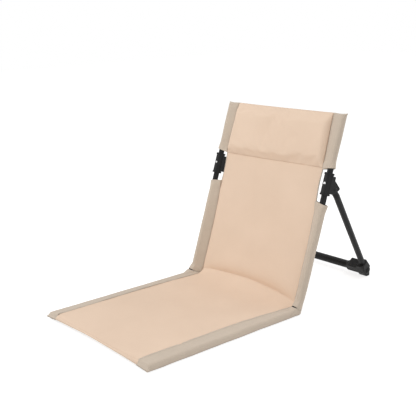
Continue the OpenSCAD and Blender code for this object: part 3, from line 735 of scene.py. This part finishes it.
def crumpled(outer, inner, seed):
    """Puckers along the seam and waves along the tube, the same on both faces of the cloth."""
    round_it = np.broadcast_to(np.arange(OUTLINE) * RING_STEP, outer.shape[:2])
    flat = np.stack([outer[..., 2], round_it, np.full(outer.shape[:2], float(seed))], -1)
    out = outer[..., :2]
    grown = np.gradient(out, axis=1)
    normal = np.stack([-grown[..., 1], grown[..., 0]], -1)
    normal /= np.maximum(np.linalg.norm(normal, axis=-1), TINY)[..., None]
    normal *= np.sign((normal * out).sum(-1).mean())
    tail_side = ease((-outer[..., 0] - PUCKER_FROM) / PUCKER_FULL)
    pucker = ripple(flat * PUCKER_CELLS, 1.0, 3) * PUCKER * (PUCKER_ON_TUBE + tail_side)
    wave = ripple(flat * WAVE_CELLS, 1.0, 4) * WAVE
    move = (pucker + wave) * ease(abs(outer[..., 2]) / CALM_LEN + CALM_AT_FOLD)
    outer[..., :2] += normal * move[..., None]
    inner[..., :2] += normal * move[..., None]
    return outer, inner


def close_tip(outer, inner, high, end_lift, droop, length, ear_size):
    """Brings the two layers together beyond the tube's end, into a flat sewn edge with an outer ear."""
    closed = []
    for layer, rings in enumerate((outer, inner)):
        last = rings[-1]
        tail = -last[:, 0].min()
        side = np.where(np.arange(OUTLINE) < OUTLINE / 2, 1.0, -1.0)
        extra = []
        for share in TIP_SHARES:
            rise = float(ease(TIP_TOP_START + (1 - TIP_TOP_START) * share))
            sink = float(ease(TIP_REAR_HASTE * share))
            e = np.where(side > 0, rise, sink)
            ring = last.copy()
            outward = np.clip((ring[:, 0] + tail) / (tail + SLEEVE_R), 0, 1)
            flat_lift = side * (TIP_HALF - TIP_INSET_LIFT * layer)
            flat_lift = flat_lift + end_lift * (1 - outward) - droop * outward
            ear = ear_size * (outward ** EAR_POWER - EAR_HOLLOW * np.sin(math.pi * outward) ** 2)
            ring[:, 1] = mix(ring[:, 1], flat_lift, e)
            ring[:, 0] = ring[:, 0] + e * TIP_WIDER * outward ** 2 - layer * TIP_INSET_OUT * e
            ring[:, 2] = high + share * length + e * ear - layer * TIP_INSET_ALONG * e
            extra.append(ring)
        closed.append(np.concatenate([rings, np.stack(extra)]))
    return closed


even_shares = np.linspace(0, 1, SLEEVE_RINGS)
SHARES = mix(even_shares, (1 - np.cos(math.pi * even_shares)) / 2, END_CROWDING)


def fold_ring(layer):
    """A lower sleeve's first section, and how far up the back each of its points starts."""
    seam_x, lift = back_seam(0.0)
    tail = TUBE_X - float(seam_x)
    ring = with_slack(ring_at(layer, tail, float(lift), BOX_TOP * MITRE), tail, FOLD_SLACK)
    return ring, fold_cut(ring, tail)


def back_sleeve_rings(high, seed):
    """Sections of an upper or lower sleeve as (outward, lift, up) triples, outside and inside."""
    low_end, high_end = (HIGH_SLEEVE_START, TIP_START) if high else (0, LOW_SLEEVE_END)
    layers = []
    for layer in (0, 1):
        cut = fold_ring(layer)[1]
        rows = []
        for share in SHARES:
            s = mix(low_end, high_end, share)
            seam_x, lift = back_seam(s)
            tail = TUBE_X - seam_x
            ring = ring_at(layer, tail, lift, s if high else s + BOX_TOP * MITRE * (1 - share))
            if not high:
                ring = with_slack(ring, tail, mix(FOLD_SLACK, REAR_SLACK, float(ease(s / SLACK_RISE))))
            ring = flared(ring, s - low_end if high else high_end - s, tail, layer)
            outward = (ring[:, 0] + tail) / (tail + SLEEVE_R)
            if high:
                up = s + (1 - share) * END_SLANT * outward
            else:
                up = cut + (s - low_end) * (high_end - cut) / (high_end - low_end)
                up = up - share * END_SLANT * outward
            rows.append(np.stack([ring[:, 0], ring[:, 1], np.broadcast_to(up, ring[:, 0].shape)], -1))
        layers.append(np.stack(rows))
    outer, inner = crumpled(*layers, seed)
    if high:
        outer, inner = close_tip(outer, inner, high_end, end_lift=back_seam(TOP_END)[1], droop=0.0,
                                 length=TIP_LEN, ear_size=TIP_EAR)
    return outer, inner


def back_sleeve(side, high, seed):
    """The two faces of an upper or a lower sleeve of the back."""
    layers = back_sleeve_rings(high, seed)
    return [on_back(side * (TUBE_X + r[..., 0]), r[..., 1], r[..., 2]) for r in layers]


def turn_start(layer):
    """A seat sleeve's turn round the fold: its last ring, where that ends, the corner and the start."""
    back_ring, cut = fold_ring(layer)
    end = cut - SLIT
    seam_x, lift = seat_seam(0.0)
    seat_ring = ring_at(layer, TUBE_X - float(seam_x), float(lift), BOX_TOP * MITRE)
    meet = (seat_ring[:, 1] - back_ring[:, 1] * math.sin(LEAN)) / math.cos(LEAN)
    meet = np.minimum(meet, end)
    corner = on_back(back_ring[:, 0], back_ring[:, 1], meet)
    begin = FOLD_Y - corner[:, 1] + TURN_LEAD + TURN_EVENNESS * (end - meet)
    return back_ring, end, corner, begin


def seat_sleeve(side, seed):
    """A seat sleeve's two faces: along the tube, round the fold corner and in under the lower sleeve."""
    starts = [turn_start(layer) for layer in (0, 1)]
    layers = []
    for layer in (0, 1):
        begin = starts[layer][3]
        rows = []
        for share in SHARES:
            out = share * SEAT_TIP_START
            seam_x, lift = seat_seam(out)
            ring = ring_at(layer, TUBE_X - seam_x, lift, out + BOX_TOP * MITRE * (1 - share))
            rows.append(np.stack([ring[:, 0], ring[:, 1], mix(begin, SEAT_TIP_START, share)], -1))
        layers.append(np.stack(rows))
    outer, inner = crumpled(*layers, seed)
    outer, inner = close_tip(outer, inner, SEAT_TIP_START, end_lift=0.0, droop=SEAT_TIP_DROOP,
                             length=SEAT_TIP_LEN, ear_size=0.0)
    faces = []
    for layer, rings in enumerate((outer, inner)):
        body = on_seat(side * (TUBE_X + rings[..., 0]), rings[..., 1], rings[..., 2])
        ring, end, corner, _ = starts[layer]
        x, lift = ring.T
        corner = corner.copy()
        corner[:, 0] = side * (TUBE_X + x)
        top = on_back(side * (TUBE_X + x), lift, end)
        turn = [curve_through(body[0], corner, top, t) for t in np.linspace(1, 0, TURN_STEPS + 1)[:-1]]
        size = np.hypot(x, lift)
        depth = mix(TUCK, TUCK_BESIDE_PIN, ease((x - PIN_SIDE) / PIN_SIDE))
        tucked = []
        for inward, beyond in TUCKED_RINGS:
            scale = 1 - inward * depth / size
            tucked.append(on_back(side * (TUBE_X + x * scale), lift * scale, end + beyond))
        faces.append(np.concatenate([np.stack(tucked), np.stack(turn), body]))
    return faces


def sleeve(name, side, faces):
    """A sleeve's piece from its two faces, kept above the floor, and the points of its outer face."""
    outer, inner = faces
    if side < 0:
        outer, inner = outer[:, ::-1], inner[:, ::-1]
    for face in (outer, inner):
        face[..., 2] = np.maximum(face[..., 2], LEAST_HEIGHT)
    return two_layers(name, outer, inner, EDGE_CLOTH), outer


# The binding on the cloth's free edges beside the brackets
BINDING_HALF_WIDTH = 1.5 * MM
BINDING_HALF_THICKNESS = 1.05 * MM
BINDING_POWER = 0.7
BINDING_INSET = 0.2 * MM
BINDING_UNDER_LOW = 4 * MM
BINDING_UNDER_HIGH = 5 * MM
BINDING_RINGS = 40
BINDING_SIDES = 16
BINDING_CELL = (0.5 * MM, 1.8 * MM)


def binding(name, side):
    """A narrow folded strip along one free edge of the back cloth."""
    low, high = LOW_SLEEVE_END - BINDING_UNDER_LOW, HIGH_SLEEVE_START + BINDING_UNDER_HIGH
    up = np.linspace(low, high, BINDING_RINGS)
    turn = np.linspace(0, 2 * math.pi, BINDING_SIDES + 1)[:-1]
    across = BINDING_HALF_WIDTH * np.sign(np.cos(turn)) * np.abs(np.cos(turn)) ** BINDING_POWER
    x = side * (half_width(up)[:, None] - BINDING_INSET + across[None, :])
    lift = back_lift(1.0, up, 0.0)[:, None] + BINDING_HALF_THICKNESS * np.sin(turn)[None, :]
    skin = on_back(x, lift, up[:, None])
    round_step, up_step = BINDING_CELL
    count = BINDING_SIDES
    faces, uv = [], []
    for i in range(BINDING_RINGS - 1):
        for j in range(count):
            a, b = i * count + j, i * count + (j + 1) % count
            corners = [(a, j, i), (b, j + 1, i), (b + count, j + 1, i + 1), (a + count, j, i + 1)]
            if side < 0:
                corners = [corners[0]] + corners[:0:-1]
            faces.append(tuple(k for k, _, _ in corners))
            uv += [(p * round_step, q * up_step) for _, p, q in corners]
    for i in (0, BINDING_RINGS - 1):
        cap = [i * count + j for j in range(count)]
        faces.append(tuple(cap if (i > 0) == (side > 0) else cap[::-1]))
        uv += [(0, i * up_step)] * count
    return make_mesh(name, skin.reshape(-1, 3), faces, uv, EDGE_CLOTH)


# The headrest pad: its low seam and the bevel above it are given as (at the left, at the right)
PAD_LOW = (302.5 * MM, 306.5 * MM)
PAD_BEVEL = (12.5 * MM, 17 * MM)
PAD_HIGH = TOP_END - 0.6 * MM
PAD_CROWN = 10.4 * MM
PAD_SEAM_T = 1.2 * MM
PAD_OFF_CLOTH = 0.25 * MM
PAD_OFF_SEAM = 0.4 * MM
PAD_COLS = 61
PAD_ROWS = 39
PAD_CROWDING = 1.15
PAD_TOP_BOW = 1.0 * MM
PAD_TOP_POWER = 2.5
PAD_TOP_ROUND = 26 * MM
PAD_SIDE_ROUND = 0.07
PAD_LOW_SHARPNESS = 8


def pad():
    """The headrest pad: two layers sewn together all round, and a mark on the points that its seams hold."""
    u = np.linspace(-1, 1, PAD_COLS)[None, :]
    v = np.linspace(0, 1, PAD_ROWS)[:, None] ** PAD_CROWDING
    low, bevel = (mix(a, b, (u + 1) / 2) for a, b in (PAD_LOW, PAD_BEVEL))
    high = PAD_HIGH - PAD_TOP_BOW * (1 - np.abs(u) ** PAD_TOP_POWER)
    up = low + (high - low) * v
    x = u * (back_seam(up)[0] - PAD_OFF_SEAM)
    base = back_lift(u, up, 0.0) + CLOTH_T / 2 + PAD_OFF_CLOTH
    t = (up - low) / bevel
    k = PAD_LOW_SHARPNESS
    rise_low = -np.log(np.exp(-k * t) + math.exp(-k)) / k + math.log(1 + math.exp(-k)) / k
    rise_high = np.sqrt(ease((high - up) / PAD_TOP_ROUND))
    rise_side = np.sqrt(ease((1 - np.abs(u)) / PAD_SIDE_ROUND))
    front = on_back(x, base + PAD_SEAM_T + PAD_CROWN * rise_low * rise_high * rise_side, up)
    back = on_back(x, base, up)
    piece = two_layers("headrest_pad_cover", front, back, MAIN_CLOTH)
    held = np.ones((2, PAD_ROWS, PAD_COLS))
    held[0, 1:-1, 1:-1] = 0
    return piece, held.ravel()


PUMPED_CLOTH = {
    "quality": 8,
    "mass": 0.3,
    "tension_stiffness": 40,
    "compression_stiffness": 40,
    "shear_stiffness": 15,
    "bending_stiffness": 4,
    "use_pressure": True,
    "uniform_pressure_force": 0.6,
    "shrink_min": -0.004,
    "vertex_group_mass": "held",
}
PUMP_FRAMES = 20
PUMP_CAP = 1.5 * MM


def simulate(piece, held):
    """Runs the piece as a pumped cloth, holds the marked points, and limits how far a point may move."""
    group = piece.vertex_groups.new(name="held")
    for weight in (0.0, 1.0):
        group.add([int(i) for i in np.flatnonzero(held == weight)], weight, "REPLACE")
    cloth = piece.modifiers.new("pumped", "CLOTH")
    for key, value in PUMPED_CLOTH.items():
        setattr(cloth.settings, key, value)
    cloth.settings.effector_weights.gravity = 0
    cloth.point_cache.frame_start = 1
    cloth.point_cache.frame_end = PUMP_FRAMES
    scene = bpy.context.scene
    for f in range(1, PUMP_FRAMES + 1):
        scene.frame_set(f)
    moved = np.zeros(len(piece.data.vertices) * 3, np.float32)
    shown = piece.evaluated_get(bpy.context.evaluated_depsgraph_get())
    shown.data.vertices.foreach_get("co", moved)
    piece.modifiers.remove(cloth)
    piece.vertex_groups.remove(group)
    scene.frame_set(1)
    start = np.zeros_like(moved)
    piece.data.vertices.foreach_get("co", start)
    step = (moved - start).reshape(-1, 3)
    length = np.linalg.norm(step, axis=1)
    step *= np.minimum(1, PUMP_CAP / np.maximum(length, TINY))[:, None]
    piece.data.vertices.foreach_set("co", (start.reshape(-1, 3) + step).ravel())
    piece.data.update()


def subdivide(piece):
    finer = piece.modifiers.new("finer", "SUBSURF")
    finer.levels = 1
    finer.render_levels = 1


def blend_over_fold(piece):
    """Bakes the piece's placement into its points."""
    along = BACK_DIR - SEAT_DIR
    along /= np.linalg.norm(along)
    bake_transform(piece)


# Main cloth, with a row of stitches on both faces of each hem
HEM_STITCHES = 7.5 * MM
HEM_STITCH_LIFT = 0.68 * CLOTH_T
HEM_COLS = slice(3, -3)
cloth, mid, normal, rows = main_cloth()
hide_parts("back_panel", "seat_panel")
hem_rows = []
for at in (HEM_STITCHES, rows[-1] - HEM_STITCHES):
    k = int(np.argmin(abs(rows - at)))
    for side in (1, -1):
        out = side * normal[k, HEM_COLS]
        hem_rows.append((mid[k, HEM_COLS] + out * HEM_STITCH_LIFT, out))
hems = sew("hem_stitches", hem_rows, MAIN_THREAD)

# Sleeves of edge cloth on both sides, each with a row of stitches on both faces of its tail
SEAM_COLS = (2, OUTLINE - 3)
SEAM_RINGS = slice(6, -4)
SEAM_STITCH_LIFT = 0.02 * MM
MIDDLE_RING = 40
LOW_SEED, HIGH_SEED, SEAT_SEED = 2, 6, 10
sleeves = []
seam_rows = []
for side, word in ((-1, "left"), (1, "right")):
    low, low_skin = sleeve(f"lower_sleeve_cloth_{word}", side, back_sleeve(side, False, LOW_SEED + side))
    high, high_skin = sleeve(f"upper_sleeve_cloth_{word}", side, back_sleeve(side, True, HIGH_SEED + side))
    seat, seat_skin = sleeve(f"seat_sleeve_cloth_{word}", side, seat_sleeve(side, SEAT_SEED + side))
    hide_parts(f"lower_sleeve_{word}")
    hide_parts(f"upper_sleeve_{word}")
    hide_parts(f"seat_sleeve_{word}")
    for piece, skin, long in ((low, low_skin, LOW_SLEEVE_END), (high, high_skin, TOP_END - HIGH_SLEEVE_START),
                              (seat, seat_skin, SEAT_LEN + 12 * MM)):
        sleeves.append(piece)
        out = grid_normals(skin)
        from_middle = skin[MIDDLE_RING] - skin[MIDDLE_RING].mean(axis=0)
        out *= np.sign((out[MIDDLE_RING] * from_middle).sum())
        for k in SEAM_COLS:
            seam_line = skin[SEAM_RINGS, k] + out[SEAM_RINGS, k] * SEAM_STITCH_LIFT
            seam_rows.append((seam_line, out[SEAM_RINGS, k]))
seams = sew("sleeve_stitches", seam_rows, EDGE_THREAD)

bindings = []
for side, word in ((-1, "left"), (1, "right")):
    piece = binding(f"edge_binding_{word}", side)
    bindings.append(piece)

# Headrest pad
cushion, held = pad()
simulate(cushion, held)
subdivide(cushion)
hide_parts("headrest_pad")
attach(cushion, "back")

# What rides on what: the bindings and the upper sleeves ride on the back, and the other pieces have their
# placement baked in
for piece in [cloth, hems, seams] + [s for s in sleeves if not s.name.startswith("upper")]:
    blend_over_fold(piece)
for piece in bindings + [s for s in sleeves if s.name.startswith("upper")]:
    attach(piece, "back")

# Finishes of the rigid parts
FINISH = {
    "black_tube": POWDER_COAT,
    "black_plastic": PLASTIC,
    "bare_steel": STEEL,
    "black_steel": BLACK_STEEL,
}
slots = {s["node"]: s["material_slot"] for s in frame["record"]["subparts"]}
for name, part in frame["nodes"].items():
    finish = FINISH.get(slots.get(name))
    if finish is not None:
        dress(part, finish)

# Floor, surroundings, lamps and camera
FLOOR_SIZE = 14
FLOOR_DROP = 0.3 * MM
FLOOR_GREY = (0.8, 0.8, 0.8, 1)
FLOOR_SEEN_GREY = (0.45, 0.45, 0.45, 1)
FLOOR_GLOW = 0.79
WORLD_FILL = 0.47
WORLD_SEEN = 1.0
WHITE = (1, 1, 1, 1)
LAMP_AIM = (0, 0, 0.1)
LAMPS = {
    "key": {"at": (-1.15, -1.7, 2.05), "size": 1.4, "energy": 38.5},
    "top": {"at": (0.3, 0.4, 2.6), "size": 2.0, "energy": 9},
    "rear": {"at": (0.9, 2.3, 1.4), "size": 2.0, "energy": 16},
    "fill": {"at": (1.7, -0.4, 0.35), "size": 1.2, "energy": 6},
}
CAMERA_AT = (1.2631, FOLD_Y - 1.12409, 0.6364)
CAMERA_YAW, CAMERA_PITCH, CAMERA_ROLL = (math.radians(a) for a in (50.681, 14.371, -1.924))
LENS = 68.63
SENSOR = 36
CLIP_NEAR = 0.05
CLIP_FAR = 30


def seen_rays(tree):
    """1 for the rays that show a thing, straight, mirrored or through a clear one, and 0 for the others."""
    path = tree.nodes.new("ShaderNodeLightPath")
    direct = maths(tree, "MAXIMUM", path.outputs["Is Camera Ray"], path.outputs["Is Glossy Ray"])
    return maths(tree, "MAXIMUM", direct, path.outputs["Is Transmission Ray"])


def seen_or_not(tree, output, unseen, seen):
    """Links one shader for the rays that show a thing and another for the light that it gives."""
    links = [(0, seen_rays(tree)), (1, unseen.outputs[0]), (2, seen.outputs[0])]
    chosen = node(tree, "ShaderNodeMixShader", links)
    tree.links.new(chosen.outputs[0], output.inputs[0])


def lit_floor():
    """A floor that looks white but for the soft shadows, and lights the chair as plain light grey."""
    material = bpy.data.materials.new("studio_floor")
    tree, output = cleared_tree(material, "ShaderNodeOutputMaterial")
    plain = node(tree, "ShaderNodeBsdfDiffuse", [("Color", FLOOR_GREY)])
    shaded = node(tree, "ShaderNodeBsdfDiffuse", [("Color", FLOOR_SEEN_GREY)])
    glow = node(tree, "ShaderNodeEmission", [("Color", WHITE), ("Strength", FLOOR_GLOW)])
    both = node(tree, "ShaderNodeAddShader", [(0, shaded.outputs[0]), (1, glow.outputs[0])])
    seen_or_not(tree, output, plain, both)
    return material


def studio():
    """The floor, and a white world that gives less light than it shows."""
    bpy.ops.mesh.primitive_plane_add(size=FLOOR_SIZE, location=(0, 0, -FLOOR_DROP))
    floor = bpy.context.object
    floor.name = "floor"
    floor.data.materials.append(lit_floor())
    world = bpy.data.worlds.new("studio")
    bpy.context.scene.world = world
    tree, output = cleared_tree(world, "ShaderNodeOutputWorld")
    fill = node(tree, "ShaderNodeBackground", [("Color", WHITE), ("Strength", WORLD_FILL)])
    white = node(tree, "ShaderNodeBackground", [("Color", WHITE), ("Strength", WORLD_SEEN)])
    seen_or_not(tree, output, fill, white)


def lamp(name, at, size, energy):
    """A round soft lamp that looks at the chair."""
    light = bpy.data.lights.new(name, "AREA")
    light.shape = "DISK"
    light.size = size
    light.energy = energy
    made = bpy.data.objects.new(name, light)
    bpy.context.scene.collection.objects.link(made)
    back = np.array(at, float) - np.array(LAMP_AIM, float)
    back /= np.linalg.norm(back)
    side = np.cross([0, 0, 1.0], back)
    side /= np.linalg.norm(side)
    turn = Matrix(np.stack([side, np.cross(back, side), back], axis=1).tolist()).to_4x4()
    made.matrix_world = Matrix.Translation(at) @ turn


def camera():
    """The camera, set where the photograph was taken from."""
    data = bpy.data.cameras.new("camera")
    data.lens = LENS
    data.sensor_width = SENSOR
    data.clip_start = CLIP_NEAR
    data.clip_end = CLIP_FAR
    made = bpy.data.objects.new("camera", data)
    bpy.context.scene.collection.objects.link(made)
    cy, sy = math.cos(CAMERA_YAW), math.sin(CAMERA_YAW)
    cp, sp = math.cos(CAMERA_PITCH), math.sin(CAMERA_PITCH)
    cr, sr = math.cos(CAMERA_ROLL), math.sin(CAMERA_ROLL)
    back = np.array([sy * cp, -cy * cp, sp])
    level = np.array([cy, sy, 0])
    rise = np.cross(level, -back)
    axes = np.stack([cr * level + sr * rise, cr * rise - sr * level, back], axis=1)
    made.matrix_world = Matrix.Translation(CAMERA_AT) @ Matrix(axes.tolist()).to_4x4()
    bpy.context.scene.camera = made


studio()
for name, settings in LAMPS.items():
    lamp(name, **settings)
camera()
bpy.context.scene.view_settings.view_transform = "Standard"
